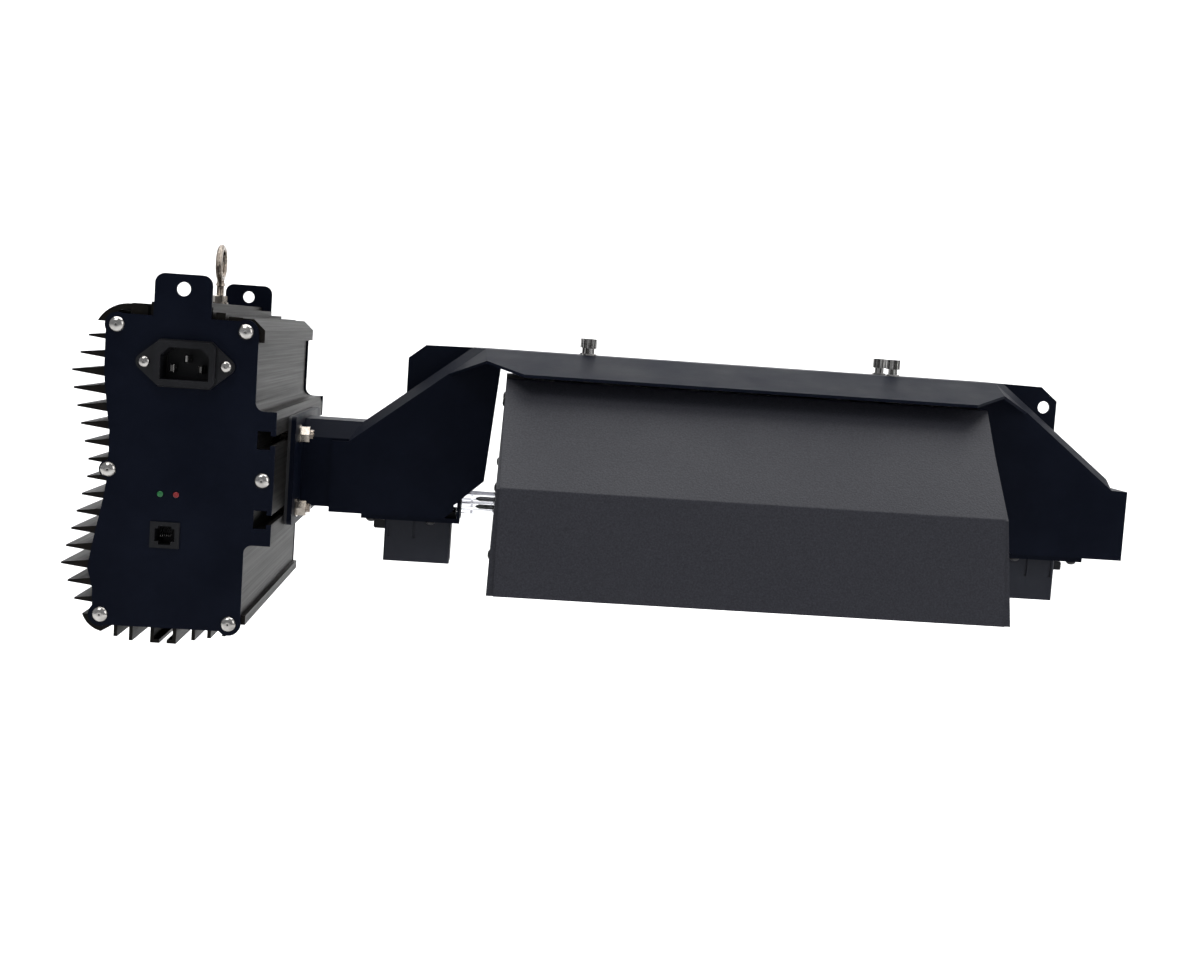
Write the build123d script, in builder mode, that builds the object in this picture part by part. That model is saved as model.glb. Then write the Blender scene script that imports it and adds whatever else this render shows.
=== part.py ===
"""Double-ended grow lamp: ballast, bracket arm, frame, hood and lamp.

Origin: centre of the eye bolt's ring. +X runs from the ballast to the hood, +Z is up and
Y = 0 is the hanging plane, which holds the ring, the lamp's axis and both ears.
All sizes are in millimetres.
"""
import math
import os

from build123d import *

os.makedirs("parts", exist_ok=True)

# ---------------------------------------------------------------- ballast, driving dimensions
HOUSING_LEN = 203.0                    # extrusion length along Y
PLATE_T = 2.0                          # end plates
FRONT = HOUSING_LEN / 2 + PLATE_T      # outer face of an end plate, as a distance from Y = 0
SCREWS = [(-31.4, -35.8), (31.2, -35.4), (-32.6, -107.3), (42.7, -108.4), (-33.5, -179.8), (29.6, -181.1)]
SCREW_R = 2.0                          # M4
LOBE_R = 6.0                           # plate corner around a screw
NECK_X, STEP_X, WALL_X = 36.4, 48.0, 35.0   # right side: above, at and below the T-slot step
STEP_TOP, STEP_BOTTOM = -74.0, -141.0
SLOT_Z = [-88.3, -127.9]               # T-slot centre lines
SLOT_INNER = 9.2                       # T-slot height inside
SLOT_MOUTH = 5.0                       # T-slot height at its mouth
SLOT_BACK, SLOT_LIP = 39.3, 45.8       # T-slot depth, from back wall to lip
CAVITY = (-28.5, 32.0, -176.0, -40.0)  # electronics space: x0, x1, z0, z1
RIB_TOP = -22.2                        # seat of the eye bolt's nut
FIN_PITCH = 8.73
FIN_FIRST = -41.9                      # height of the top side fin
FIN_COUNT = 16
FIN_CROWN = [(-41.9, -45.3), (-61.0, -53.3), (-107.0, -42.0), (-155.2, -54.3), (-172.9, -47.0)]
FIN_TIP = 0.9
FIN_TAPER = 0.12                       # half thickness gained per mm from tip to root
FIN_ROOT_X = -31.0
LEFT_WALL = [(-36.7, -57.0), (-36.2, -64.0), (-34.3, -79.0), (-32.9, -88.0), (-32.8, -99.0), (-33.4, -114.0),
             (-34.5, -122.0), (-37.8, -139.0), (-39.4, -148.0), (-40.8, -156.6), (-38.0, -167.0)]
TOP_RIBS = [(-25.0, -17.2, -24.8), (-15.6, -10.0, -23.6), (-8.4, 8.4, RIB_TOP),
            (10.0, 14.4, -24.4), (16.0, 20.6, -26.8), (22.2, 29.1, -28.4)]
BOTTOM_FINS = [(-26.1, -190.9), (-18.5, -192.6), (-8.0, -193.1), (3.0, -193.1),
               (12.3, -190.8), (20.1, -189.3), (27.4, -187.9)]
BOTTOM_FIN_T = 1.8
INLET = (2.8, -53.1)                   # centre of the mains inlet
JACK = (-3.6, -138.3)                  # centre of the data jack
LEDS = {"led_green": (-6.8, -118.0), "led_red": (1.0, -118.0)}
TAB_HOLE = (0.0, -16.5)
TAB_HOLE_R = 3.5
LEAD_Z = -108.0                        # height of the lead hole through the step

# ---------------------------------------------------------------- arm and frame
CX = 289.4                             # centre of the hood along X
SHEET = 1.8                            # frame sheet
PAD_T, FLANGE_T = 1.5, 2.5
FLANGE_X = STEP_X + PAD_T              # back face of the arm's flange
FLANGE = (108.0, -136.0, -78.5)        # width along Y, bottom, top
BOLT_Y = 38.0
BOLT_R = 2.45                          # M5
ARM_TOP, ARM_SHOULDER, ARM_BOTTOM = -81.2, -90.6, -128.3
ARM_END = 84.9                         # where the arm's roof meets the end box
BOX_HALF = 23.5                        # half width of the frame
FLAT_HALF = 13.5                       # half width of its flat top
ARM_HALF = BOX_HALF - SHEET - 0.2
SPINE_Z = -36.5                        # top of the spine
SLOPE = 0.778                          # rise per mm of the end boxes' sloping top
EDGE_X, EDGE_Z = 212.3, -91.8          # foot of the sloping edge, outwards from CX
RIDGE_RISE = 5.7                       # flat top above the sloping edge
PINCH_Z = -123.2                       # lamp axis

# ---------------------------------------------------------------- hood and lamp
HOOD_HALF = 129.0                      # half length of the shell
HOOD_T = 1.2
BEND_R = 1.6                           # outside of the folds in the sheet
HOOD_PROFILE = [(54.0, -50.9), (104.0, -104.3), (116.5, -157.3)]
END_TOP_X = 127.7                      # end wall at its top edge, outwards from CX
END_TOP_Z = -53.0
END_TILT = 2.0                         # degrees, flaring outwards towards the bottom
ROOF_EDGE = (66.0, -48.0)              # lower edge of the roof: y, z
THUMB_X, THUMB_Y = 84.5, 17.0
THUMB_SHANK_R = 1.95
POST_TOP = -38.6
LAMP_X = CX - 1.85                     # middle of the lamp, between its two sockets
LAMP_HALF = 187.0                      # half length of the lamp over its pins
TUBE_R = 15.5


def save(piece, name):
    """Label a finished piece and write its STEP file."""
    piece.part.label = name
    export_step(piece.part, f"parts/{name}.step")


def read_line(points, z):
    """Read a line of (z, x) points, falling in z, at height z."""
    for (z0, x0), (z1, x1) in zip(points, points[1:]):
        if z1 <= z <= z0 + 1e-6:
            return x0 + (x1 - x0) * (z - z0) / (z1 - z0)
    return points[-1][1]


def round_corner(sketch, point, radius):
    """Fillet the corner of an open sketch that is nearest to a point."""
    fillet(sketch.vertices().sort_by_distance((*point, 0))[0], radius)


def box(x0, x1, y0, y1, z0, z1, mode=Mode.ADD):
    """Add a box to the open part by its limits."""
    with Locations(((x0 + x1) / 2, (y0 + y1) / 2, (z0 + z1) / 2)):
        Box(x1 - x0, y1 - y0, z1 - z0, mode=mode)


def rod(start, direction, radius, length, mode=Mode.ADD):
    """Add a round rod to the open part."""
    with Locations(Plane(start, z_dir=direction).location):
        Cylinder(radius, length, align=(Align.CENTER, Align.CENTER, Align.MIN), mode=mode)


def wire(points, bends, radius):
    """Add a round lead along a filleted path to the open part."""
    with BuildLine() as path:
        FilletPolyline(*points, radius=bends)
    with BuildSketch(Plane(path.line @ 0, z_dir=path.line % 0)) as section:
        Circle(radius)
    sweep(section.sketch, path=path.line)


def hexagon(flats):
    """Add a hexagon, given across its flats, to the open sketch."""
    RegularPolygon(flats / 2, 6, major_radius=False)


# ================================================================= ballast housing
def housing_outline():
    """Body of the extrusion without its fins, drawn in X and Z."""
    left = [(-36.5, -35.0), *LEFT_WALL, (-37.4, -181.0)]
    bottom = [(-33.0, -185.2), (30.0, -185.2), (WALL_X, -181.5)]
    right = [(WALL_X, STEP_BOTTOM), (STEP_X, STEP_BOTTOM), (STEP_X, -78.0), (STEP_X - 1.2, STEP_TOP),
             (NECK_X, STEP_TOP), (NECK_X, -40.2), (40.2, -40.2), (40.2, -34.0), (34.6, -28.8)]
    top = [(29.1, -28.8), (29.1, -31.0), (-31.0, -31.0)]
    return left + bottom + right + top


with BuildPart() as housing:
    with BuildSketch(Plane.XZ) as section:
        Polygon(*housing_outline(), align=None)
        round_corner(section, (NECK_X, STEP_TOP), 4.5)
        round_corner(section, (WALL_X, STEP_BOTTOM), 4.0)
        for number in range(FIN_COUNT):
            height = FIN_FIRST - number * FIN_PITCH
            tip = read_line(FIN_CROWN, height)
            half = FIN_TIP / 2 + FIN_TAPER * (FIN_ROOT_X - tip)
            Polygon((FIN_ROOT_X, height - half), (tip, height - FIN_TIP / 2),
                    (tip, height + FIN_TIP / 2), (FIN_ROOT_X, height + half), align=None)
        for x0, x1, top in TOP_RIBS:
            Polygon((x0, -31.5), (x1, -31.5), (x1, top), (x0, top), align=None)
        for x, tip in BOTTOM_FINS:
            half = BOTTOM_FIN_T / 2
            Polygon((x - half, -185.0), (x + half, -185.0), (x + half, tip), (x - half, tip), align=None)
        for x, inward in ((BOTTOM_FINS[2][0], 1), (BOTTOM_FINS[3][0], -1)):
            with Locations((x + inward * 1.4, -192.2)):
                Rectangle(4.6, 1.8)
        with Locations((WALL_X + 0.8, -179.2)):
            Rectangle(3.6, 4.6)
        with BuildLine():
            ThreePointArc((-41.3, -34.6), (-35.6, -28.2), (-25.0, -25.2))
            Line((-25.0, -25.2), (-25.0, -28.0))
            ThreePointArc((-25.0, -28.0), (-33.6, -30.4), (-38.0, -34.6))
            Line((-38.0, -34.6), (-41.3, -34.6))
        make_face()
        with BuildLine():
            ThreePointArc((-42.9, -180.3), (-39.2, -185.8), (-33.3, -188.8))
            Polyline((-33.3, -188.8), (-27.0, -184.9), (-31.0, -184.9), (-32.6, -186.2))
            ThreePointArc((-32.6, -186.2), (-36.9, -184.0), (-40.0, -180.3))
            Line((-40.0, -180.3), (-42.9, -180.3))
        make_face()
        with Locations(SCREWS[2]):
            Circle(4.4)
        with Locations(*SCREWS):
            Circle(SCREW_R + 0.1, mode=Mode.SUBTRACT)
        x0, x1, z0, z1 = CAVITY
        with Locations(((x0 + x1) / 2, (z0 + z1) / 2)):
            RectangleRounded(x1 - x0, z1 - z0, 2.0, mode=Mode.SUBTRACT)
        for height in SLOT_Z:
            with Locations(((SLOT_BACK + SLOT_LIP) / 2, height)):
                Rectangle(SLOT_LIP - SLOT_BACK, SLOT_INNER, mode=Mode.SUBTRACT)
            with Locations(((SLOT_LIP + STEP_X) / 2, height)):
                Rectangle(STEP_X - SLOT_LIP + 2.0, SLOT_MOUTH, mode=Mode.SUBTRACT)
    extrude(amount=HOUSING_LEN / 2, both=True)
    rod((0, 0, RIB_TOP + 1), (0, 0, -1), SCREW_R + 0.1, 15.0, Mode.SUBTRACT)
    rod((CAVITY[1] - 1, 0, LEAD_Z), (1, 0, 0), 6.2, STEP_X - CAVITY[1] + 2, Mode.SUBTRACT)
save(housing, "ballast_housing")


# ================================================================= end plates
def plate_sketch():
    """Outline of an end plate, drawn in X and Z, with its tab, notches and holes."""
    left = [(-36.8, -35.0), *LEFT_WALL, (-37.6, -180.0)]
    bottom = [(-33.0, -185.0), (30.0, -185.0), (WALL_X + 0.4, -181.0)]
    right = [(WALL_X + 0.4, STEP_BOTTOM), (STEP_X + 0.3, STEP_BOTTOM), (STEP_X + 0.3, STEP_TOP),
             (NECK_X + 1.2, STEP_TOP), (NECK_X + 1.2, -36.0), (32.0, -30.3), (-31.0, -30.3)]
    with BuildSketch(Plane.XZ, mode=Mode.PRIVATE) as outline:
        Polygon(*left, *bottom, *right, align=None)
        round_corner(outline, (NECK_X + 1.2, STEP_TOP), 4.5)
        round_corner(outline, (WALL_X + 0.4, STEP_BOTTOM), 4.0)
        with Locations(SCREWS[0], SCREWS[1], SCREWS[4], SCREWS[5]):
            Circle(LOBE_R)
        with Locations(SCREWS[2]):
            Circle(4.6)
        with Locations((0, -24.2)):
            RectangleRounded(28.0, 30.0, 5.0)
        with Locations(*SCREWS):
            Circle(SCREW_R + 0.2, mode=Mode.SUBTRACT)
        with Locations(TAB_HOLE):
            Circle(TAB_HOLE_R, mode=Mode.SUBTRACT)
        for height in SLOT_Z:
            with Locations(((SLOT_BACK + SLOT_LIP) / 2, height)):
                Rectangle(SLOT_LIP - SLOT_BACK, SLOT_INNER, mode=Mode.SUBTRACT)
            with Locations(((SLOT_LIP + STEP_X) / 2, height)):
                Rectangle(STEP_X - SLOT_LIP + 2.0, SLOT_MOUTH, mode=Mode.SUBTRACT)
    return outline.sketch_local


with BuildPart() as front_plate:
    with BuildSketch(Plane.XZ.offset(FRONT - PLATE_T)):
        add(plate_sketch())
        with Locations(INLET):
            Rectangle(27.4, 20.0, mode=Mode.SUBTRACT)
            with Locations((-19.8, 0), (19.8, 0)):
                Circle(1.6, mode=Mode.SUBTRACT)
        with Locations(JACK):
            Rectangle(12.4, 11.4, mode=Mode.SUBTRACT)
        with Locations(*LEDS.values()):
            Circle(1.6, mode=Mode.SUBTRACT)
    extrude(amount=PLATE_T)
save(front_plate, "front_plate")

with BuildPart() as rear_plate:
    with BuildSketch(Plane.XZ.offset(-FRONT)):
        add(plate_sketch())
    extrude(amount=PLATE_T)
save(rear_plate, "rear_plate")


# ================================================================= fasteners
def button_screw(head_r, head_h, shank_r, length, socket):
    """A button-head screw standing on XY with its head towards +Z."""
    with BuildPart() as screw:
        with BuildSketch(Plane.XZ):
            with BuildLine():
                Polyline((0, -length), (shank_r, -length), (shank_r, 0), (head_r, 0), (head_r, head_h * 0.3))
                ThreePointArc((head_r, head_h * 0.3), (head_r * 0.72, head_h * 0.82), (0, head_h))
                Line((0, head_h), (0, -length))
            make_face()
        revolve(axis=Axis.Z)
        with BuildSketch(Plane.XY.offset(head_h + 0.1)):
            hexagon(socket)
        extrude(amount=-head_h * 0.75, mode=Mode.SUBTRACT)
    return screw.part


def on_plate(point, side):
    """Place on an end plate's outer face, pointing outwards."""
    return Plane((point[0], side * FRONT, point[1]), x_dir=(1, 0, 0), z_dir=(0, side, 0)).location


plate_screw = button_screw(3.75, 2.2, SCREW_R, 14.0, 2.5)
with BuildPart() as plate_screws:
    with Locations(*[on_plate(point, side) for side in (-1, 1) for point in SCREWS]):
        add(plate_screw)
save(plate_screws, "plate_screws")

with BuildPart() as eye_bolt:
    with BuildSketch(Plane.XZ):
        with Locations((0, 8.6)):
            Circle(1.8)
    revolve(axis=Axis.X)
    rod((0, 0, -8.6), (0, 0, -1), SCREW_R, 26.8)
    with BuildSketch(Plane.XY.offset(-12.2)):
        Circle(2.7)
    extrude(amount=2.0, taper=18)
save(eye_bolt, "eye_bolt")

with BuildPart() as eye_nut:
    with BuildSketch(Plane.XY.offset(RIB_TOP)):
        Circle(4.6)
        Circle(SCREW_R + 0.05, mode=Mode.SUBTRACT)
    extrude(amount=1.0)
    with BuildSketch(Plane.XY.offset(RIB_TOP + 1.0)):
        hexagon(7.0)
        Circle(SCREW_R + 0.05, mode=Mode.SUBTRACT)
    extrude(amount=3.6)
    chamfer(eye_nut.faces().sort_by(Axis.Z)[-1].outer_wire().edges(), 0.4)
save(eye_nut, "eye_nut")


# ================================================================= front panel fittings
INLET_PROUD = 4.2                      # raised block of the inlet beyond the plate
with BuildPart() as inlet:
    with BuildSketch(Plane.XZ.offset(FRONT)):
        with Locations(INLET):
            Rectangle(25.0, 23.6)
            with Locations((-19.8, 0), (19.8, 0)):
                Circle(4.2)
        make_hull()
    extrude(amount=2.2)
    with BuildSketch(Plane.XZ.offset(FRONT + 2.2)) as block:
        with Locations(INLET):
            Rectangle(30.4, 22.8)
        chamfer(block.vertices(), 2.4)
    extrude(amount=INLET_PROUD - 2.2, taper=8)
    with BuildSketch(Plane.XZ.offset(FRONT)):
        with Locations(INLET):
            Rectangle(27.0, 19.6)
    extrude(amount=-17.0)
    with BuildSketch(Plane.XZ.offset(FRONT + INLET_PROUD)) as mouth:
        with Locations(INLET):
            Rectangle(23.6, 15.8)
        chamfer(mouth.vertices().group_by(Axis.Y)[-1], 4.0)
    extrude(amount=-17.0, mode=Mode.SUBTRACT)
    with BuildSketch(Plane.XZ.offset(FRONT + INLET_PROUD)):
        with Locations((INLET[0] - 19.8, INLET[1]), (INLET[0] + 19.8, INLET[1])):
            Circle(1.6)
    extrude(amount=-INLET_PROUD, mode=Mode.SUBTRACT)
save(inlet, "inlet_body")

PIN_PLACES = [(0.0, 2.6), (-7.0, -2.4), (7.0, -2.4)]
with BuildPart() as inlet_pins:
    with BuildSketch(Plane.XZ.offset(FRONT - 1.0)):
        with Locations(INLET):
            with Locations(*PIN_PLACES):
                Rectangle(2.0, 4.0)
    extrude(amount=-11.8)
    chamfer(inlet_pins.faces().group_by(Axis.Y)[0].edges(), 0.5)
    with BuildSketch(Plane.XZ.offset(FRONT - 17.0)):
        with Locations(INLET):
            with Locations(*PIN_PLACES):
                Rectangle(0.8, 4.8)
    extrude(amount=-8.0)
save(inlet_pins, "inlet_pins")

inlet_screw = button_screw(2.8, 1.6, 1.5, 10.0, 1.8)
with BuildPart() as inlet_screws:
    seats = [Plane((INLET[0] + dx, -FRONT - 2.2, INLET[1]), x_dir=(1, 0, 0), z_dir=(0, -1, 0)).location
             for dx in (-19.8, 19.8)]
    with Locations(*seats):
        add(inlet_screw)
save(inlet_screws, "inlet_screws")

with BuildPart() as data_jack:
    with BuildSketch(Plane.XZ.offset(FRONT)):
        with Locations(JACK):
            Rectangle(14.5, 13.0)
    extrude(amount=0.8)
    with BuildSketch(Plane.XZ.offset(FRONT)):
        with Locations(JACK):
            Rectangle(12.2, 11.2)
    extrude(amount=-14.0)
    with BuildSketch(Plane.XZ.offset(FRONT + 0.8)):
        with Locations(JACK):
            Rectangle(9.8, 6.4)
            with Locations((0, -3.7)):
                Rectangle(6.0, 2.4)
            with Locations((0, 3.7)):
                Rectangle(6.6, 1.6)
    extrude(amount=-12.5, mode=Mode.SUBTRACT)
save(data_jack, "data_jack")

for name, (x, z) in LEDS.items():
    with BuildPart() as led:
        with BuildSketch(Plane.XZ.offset(FRONT - 6.0)):
            with Locations((x, z)):
                Circle(1.5)
        extrude(amount=6.6)
        with BuildSketch(Plane.XZ.offset(FRONT - 6.0)):
            with Locations((x, z)):
                Circle(1.9)
        extrude(amount=3.6)
        fillet(led.faces().sort_by(Axis.Y)[0].edges(), 0.5)
    save(led, name)


# ================================================================= ballast electronics
BOARD_X = -12.0                        # back face of the board
BOARD_T = 1.6
FACE_X = BOARD_X + BOARD_T             # component side
with BuildPart() as board:
    box(BOARD_X, FACE_X, -84, 84, -171, -45)
    with Locations(*[Plane((FACE_X, y, z), z_dir=(1, 0, 0)).location for y in (-78, 78) for z in (-165, -51)]):
        Hole(1.7)
save(board, "circuit_board")

with BuildPart() as standoffs:
    for y in (-78, 78):
        for z in (-165, -51):
            rod((CAVITY[0], y, z), (1, 0, 0), 3.0, BOARD_X - CAVITY[0])
            rod((BOARD_X, y, z), (1, 0, 0), 1.6, BOARD_T)
            rod((FACE_X, y, z), (1, 0, 0), 2.8, 1.8)
save(standoffs, "board_standoffs")

with BuildPart() as emi_choke:
    with BuildSketch(Plane((FACE_X + 7.5, -58, -84), x_dir=(0, 1, 0), z_dir=(1, 0, 0))):
        Circle(16.0)
        Circle(7.5, mode=Mode.SUBTRACT)
    extrude(amount=6.5, both=True)
    fillet(emi_choke.edges().filter_by(GeomType.CIRCLE), 2.0)
save(emi_choke, "emi_choke")


def cored_choke(name, y, z, width, height, depth):
    """Coil on a bobbin between two core halves, standing on the board."""
    with BuildPart() as choke:
        box(FACE_X, FACE_X + depth, y - width / 2, y + width / 2, z - height / 2, z - height / 2 + 7)
        box(FACE_X, FACE_X + depth, y - width / 2, y + width / 2, z + height / 2 - 7, z + height / 2)
        box(FACE_X + 4, FACE_X + depth - 4, y - width / 2 + 3, y + width / 2 - 3,
            z - height / 2 + 6, z + height / 2 - 6)
        fillet(choke.edges().filter_by(Axis.X), 1.2)
    save(choke, name)


cored_choke("pfc_choke", -22, -72, 34, 40, 32)
cored_choke("output_inductor", 56, -120, 42, 52, 36)

with BuildPart() as bulk_capacitors:
    for y in (-58, -28, 2):
        rod((FACE_X, y, -150), (1, 0, 0), 12.5, 38.0)
    fillet(bulk_capacitors.edges().filter_by(GeomType.CIRCLE).group_by(Axis.X)[-1], 1.5)
save(bulk_capacitors, "bulk_capacitors")

with BuildPart() as film_capacitors:
    for y, z in ((22, -64), (48, -64), (74, -64), (-20, -112), (12, -112)):
        box(FACE_X, FACE_X + 20, y - 9, y + 9, z - 6, z + 6)
    fillet(film_capacitors.edges().filter_by(Axis.X), 1.0)
save(film_capacitors, "film_capacitors")

TRANSISTOR_Y = [-60, -36, -12, 12, 36, 60]
with BuildPart() as transistors:
    for y in TRANSISTOR_Y:
        box(CAVITY[0], CAVITY[0] + 5, y - 8, y + 8, -112, -92)
        for dy in (-5.4, 0, 5.4):
            box(CAVITY[0] + 2.2, CAVITY[0] + 3.0, y + dy - 0.6, y + dy + 0.6, -118, -112)
            box(CAVITY[0] + 2.2, BOARD_X, y + dy - 0.6, y + dy + 0.6, -118.6, -117.8)
save(transistors, "power_transistors")

with BuildPart() as clamp:
    box(CAVITY[0] + 5, CAVITY[0] + 7.5, -72, 72, -106, -98)
    for y in (-48, 0, 48):
        rod((CAVITY[0], y, -102), (1, 0, 0), 2.0, 5.0)
        rod((CAVITY[0] + 7.5, y, -102), (1, 0, 0), 3.4, 2.4)
save(clamp, "transistor_clamp")

with BuildPart() as grommet:
    with BuildSketch(Plane.XZ) as ring:
        with Locations((0, 0)):
            Polygon((30.6, 4.6), (30.6, 8.0), (32.0, 8.0), (32.0, 6.1), (STEP_X, 6.1), (STEP_X, 6.6),
                    (FLANGE_X + FLANGE_T, 6.6), (FLANGE_X + FLANGE_T, 9.0), (53.8, 9.0), (53.8, 4.6),
                    align=None)
    revolve(axis=Axis.X)
    grommet.part.position = (0, 0, LEAD_Z)
save(grommet, "lead_grommet")

with BuildPart() as ballast_leads:
    for dx, dz in PIN_PLACES:
        x, z = INLET[0] + dx, INLET[1] + dz
        wire([(x, -78.4, z), (x, -70, z), (20 + dx, -60, z - 14), (20 + dx, -44, z - 30)], 6.0, 1.3)
    for y in (-2.2, 2.2):
        wire([(FACE_X, y * 5, -132), (8, y * 5, -132), (22, y, LEAD_Z), (54, y, LEAD_Z)], 5.0, 1.6)
save(ballast_leads, "ballast_leads")


# ================================================================= arm
flange_width, flange_bottom, flange_top = FLANGE
bolt_points = [(y, z) for y in (-BOLT_Y, BOLT_Y) for z in SLOT_Z]


def flange_plate(name, x, thickness):
    """Bolted plate between the ballast and the arm, with four bolt holes and a lead hole."""
    with BuildPart() as plate:
        with BuildSketch(Plane.YZ.offset(x)):
            with Locations((0, (flange_bottom + flange_top) / 2)):
                RectangleRounded(flange_width, flange_top - flange_bottom, 3.0)
            with Locations(*bolt_points):
                Circle(BOLT_R + 0.3, mode=Mode.SUBTRACT)
            with Locations((0, LEAD_Z)):
                Circle(6.8, mode=Mode.SUBTRACT)
        extrude(amount=thickness)
    save(plate, name)


flange_plate("arm_pad", STEP_X, PAD_T)
flange_plate("arm_flange", FLANGE_X, FLANGE_T)
NUT_SEAT = FLANGE_X + FLANGE_T

with BuildPart() as flange_bolts:
    for y, z in bolt_points:
        with BuildSketch(Plane.YZ.offset(SLOT_LIP - 0.2)):
            with Locations((y, z)):
                hexagon(8.0)
        extrude(amount=-3.5)
        rod((SLOT_LIP - 0.2, y, z), (1, 0, 0), BOLT_R, NUT_SEAT + 8.0 - SLOT_LIP)
    chamfer(flange_bolts.edges().filter_by(GeomType.CIRCLE).group_by(Axis.X)[-1], 0.4)
save(flange_bolts, "flange_bolts")

with BuildPart() as flange_washers:
    for y, z in bolt_points:
        with BuildSketch(Plane.YZ.offset(NUT_SEAT)):
            with Locations((y, z)):
                Circle(5.0)
                Circle(BOLT_R + 0.2, mode=Mode.SUBTRACT)
        extrude(amount=1.0)
save(flange_washers, "flange_washers")

with BuildPart() as flange_nuts:
    for y, z in bolt_points:
        with BuildSketch(Plane.YZ.offset(NUT_SEAT + 1.0)):
            with Locations((y, z)):
                hexagon(8.0)
                Circle(BOLT_R + 0.05, mode=Mode.SUBTRACT)
        extrude(amount=4.7)
save(flange_nuts, "flange_nuts")


def arm_section(half, top, shoulder, bottom):
    """House-shaped section of the arm, drawn in Y and Z."""
    flat = FLAT_HALF - (ARM_HALF - half) * 0.4
    return [(-half, bottom), (-half, shoulder), (-flat, top), (flat, top), (half, shoulder), (half, bottom)]


with BuildPart() as arm:
    with BuildSketch(Plane.YZ.offset(NUT_SEAT)):
        Polygon(*arm_section(ARM_HALF, ARM_TOP, ARM_SHOULDER, ARM_BOTTOM), align=None)
        Polygon(*arm_section(ARM_HALF - SHEET, ARM_TOP - SHEET, ARM_SHOULDER - 0.8, ARM_BOTTOM + SHEET),
                align=None, mode=Mode.SUBTRACT)
        with Locations((0, ARM_BOTTOM)):
            Rectangle(2 * ARM_HALF - 16, 4 * SHEET, mode=Mode.SUBTRACT)
    extrude(amount=ARM_END - NUT_SEAT)
save(arm, "arm_channel")


# ================================================================= frame
def edge_z(x):
    """Height of the sloping edge at a distance x outwards from CX."""
    return EDGE_Z + SLOPE * (EDGE_X - x)


BOX_OUTER = 221.4
BOX_BOTTOM = -130.9
SPINE_END_EDGE = EDGE_X - (SPINE_Z - EDGE_Z) / SLOPE                 # sloping edge reaches the spine
SPINE_END_FLAT = EDGE_X - (SPINE_Z - RIDGE_RISE - EDGE_Z) / SLOPE    # flat top reaches the spine
SIDE_PROFILE = [(BOX_OUTER, -92.0), (EDGE_X, EDGE_Z), (SPINE_END_EDGE, SPINE_Z), (131.6, SPINE_Z),
                (137.8, -109.0), (153.5, -123.2), (153.5, -126.0), (158.6, BOX_BOTTOM), (BOX_OUTER, BOX_BOTTOM)]


LIP_W = 6.8                            # bottom lips of the end boxes
ROOF_T = 1.5
SPINE_END = [(SPINE_END_FLAT, FLAT_HALF), (SPINE_END_EDGE, BOX_HALF), (120.0, BOX_HALF),
             (120.0, -BOX_HALF), (SPINE_END_EDGE, -BOX_HALF), (SPINE_END_FLAT, -FLAT_HALF)]
RIGHT_SHIFT = -3.7                     # the right socket sits further in, on its slotted bracket
BRACKET_SCREWS = [(x, y) for x in (166.0, 198.5) for y in (-17.8, 17.8)]


def socket_x(side, x):
    """X of a place on a socket assembly, given outwards from CX."""
    return CX + side * (x + (RIGHT_SHIFT if side > 0 else 0))


def bracket_holes(side):
    """Places of one bracket's four screws."""
    return [(socket_x(side, x), y) for x, y in BRACKET_SCREWS]


def end_box(side):
    """Folded end box: two side plates, bottom lips and a sloping bevelled top."""
    name = "end_box_right" if side > 0 else "end_box_left"
    with BuildPart() as shell:
        for plane in (Plane.XZ.offset(BOX_HALF - SHEET), Plane.XZ.offset(-BOX_HALF)):
            with BuildSketch(plane):
                Polygon(*[(CX + side * x, z) for x, z in SIDE_PROFILE], align=None)
            extrude(amount=SHEET)
        thick = SHEET / math.cos(math.atan(SLOPE))
        low = EDGE_X + 3.0
        base, ridge = edge_z(low), edge_z(low) + RIDGE_RISE
        with BuildSketch(Plane.YZ.offset(CX + side * low)):
            Polygon((-BOX_HALF, base), (-FLAT_HALF, ridge), (FLAT_HALF, ridge), (BOX_HALF, base),
                    (BOX_HALF, base - thick), (FLAT_HALF - 0.5, ridge - thick),
                    (-FLAT_HALF + 0.5, ridge - thick), (-BOX_HALF, base - thick), align=None)
        reach = low - SPINE_END_EDGE + 6.0
        extrude(amount=math.hypot(reach, reach * SLOPE), dir=(-side, 0, SLOPE))
        box(CX - 300, CX + 300, -60, 60, SPINE_Z, SPINE_Z + 20, Mode.SUBTRACT)
        box(*sorted((CX + side * EDGE_X, CX + side * (low + 4))), -60, 60, -91.8, -60, Mode.SUBTRACT)
        for y0 in (-BOX_HALF + SHEET, BOX_HALF - SHEET - LIP_W):
            box(*sorted((CX + side * 158.6, CX + side * BOX_OUTER)), y0, y0 + LIP_W, BOX_BOTTOM, BOX_BOTTOM + SHEET)
        for x, y in bracket_holes(side):
            rod((x, y, BOX_BOTTOM - 1), (0, 0, 1), 1.55, 4.0, Mode.SUBTRACT)
        with BuildSketch(Plane.XY.offset(SPINE_Z - ROOF_T)):
            Polygon(*[(CX + side * x, y) for x, y in SPINE_END], align=None)
        extrude(amount=10, mode=Mode.SUBTRACT)
        if side > 0:
            box(CX + BOX_OUTER - SHEET, CX + BOX_OUTER, -BOX_HALF + SHEET, BOX_HALF - SHEET, BOX_BOTTOM, -92.0)
            box(CX + EDGE_X - 3, CX + BOX_OUTER, -BOX_HALF + SHEET, BOX_HALF - SHEET, -92.0 - SHEET, -92.0)
        else:
            with BuildSketch(Plane.YZ.offset(FLANGE_X)):
                Polygon(*arm_section(ARM_HALF + 0.1, ARM_TOP + 0.1, ARM_SHOULDER + 0.1, ARM_BOTTOM - 0.1),
                        align=None)
            extrude(amount=ARM_END + 0.1 - FLANGE_X, mode=Mode.SUBTRACT)
    save(shell, name)


end_box(-1)
end_box(1)

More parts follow.
